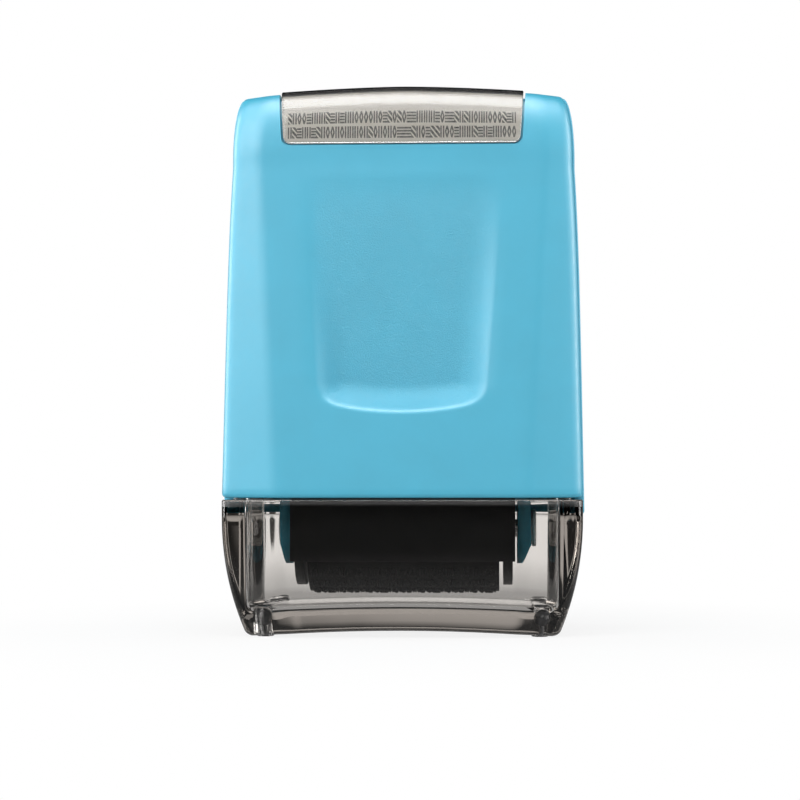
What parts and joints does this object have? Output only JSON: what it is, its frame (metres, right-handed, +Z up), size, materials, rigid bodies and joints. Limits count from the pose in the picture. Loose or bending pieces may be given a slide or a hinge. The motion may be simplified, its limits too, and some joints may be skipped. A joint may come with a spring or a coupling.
{
  "type": "privacy roller stamp",
  "caption": "Self-inking roller stamp that masks printed text, with a tapered two-shell handle, thumb recess and smoky protective cap.",
  "frame": {"origin": "on the surface that the cap stands on, under the middle of the cap", "axes": "+Z up along the handle, +X to the right seen from the front, which faces -Y"},
  "size_m": [0.0612, 0.04, 0.0926],
  "materials": {
    "blue_plastic": "satin, with a fine spark-eroded grain in the thumb recess",
    "teal_plastic": "satin dark teal",
    "smoky_plastic": "polished smoky transparent plastic",
    "clear_lens": "polished clear plastic",
    "silver_label": "satin silver with a dark printed masking pattern",
    "black_plastic": "satin black",
    "white_plastic": "natural bearing plastic",
    "print_rubber": "matte with fine relief",
    "foam": "open-cell foam",
    "steel": "drawn wire and rod"
  },
  "bodies": {
    "cap": {"cap": "smoky_plastic"},
    "handle": {"front_shell": "blue_plastic", "rear_shell": "blue_plastic", "chassis": "teal_plastic", "label_plate": "silver_label", "label_window": "clear_lens", "chassis_screw_left": "steel", "chassis_screw_right": "steel", "cartridge_frame": "black_plastic", "ink_plug": "print_rubber", "roller_axle": "steel", "axle_bush_left": "white_plastic", "axle_bush_right": "white_plastic", "ink_axle": "steel", "ink_block_left": "white_plastic", "ink_block_right": "white_plastic", "ink_spring_left": "steel", "ink_spring_right": "steel"},
    "roller": {"print_sleeve": "print_rubber", "cushion_sleeve": "foam", "roller_core": "black_plastic", "roller_hub_left": "white_plastic", "roller_hub_right": "white_plastic"},
    "ink_roller": {"ink_core": "white_plastic", "ink_foam": "foam"}
  },
  "joints": [
    {"name": "handle_lift", "type": "slide", "parent": "cap", "child": "handle", "axis": [0, 0, 1], "range_m": [0, 0.035]},
    {"name": "roller_spin", "type": "hinge", "parent": "handle", "child": "roller", "pos_m": [0, 0, 0.0177], "axis": [1, 0, 0], "continuous": true},
    {"name": "ink_roller_spin", "type": "hinge", "parent": "handle", "child": "ink_roller", "pos_m": [0, 0, 0.0335], "axis": [1, 0, 0], "continuous": true}
  ],
  "couplings": [
    {"joint": "ink_roller_spin", "follows": "roller_spin", "ratio": -2.4444}
  ]
}
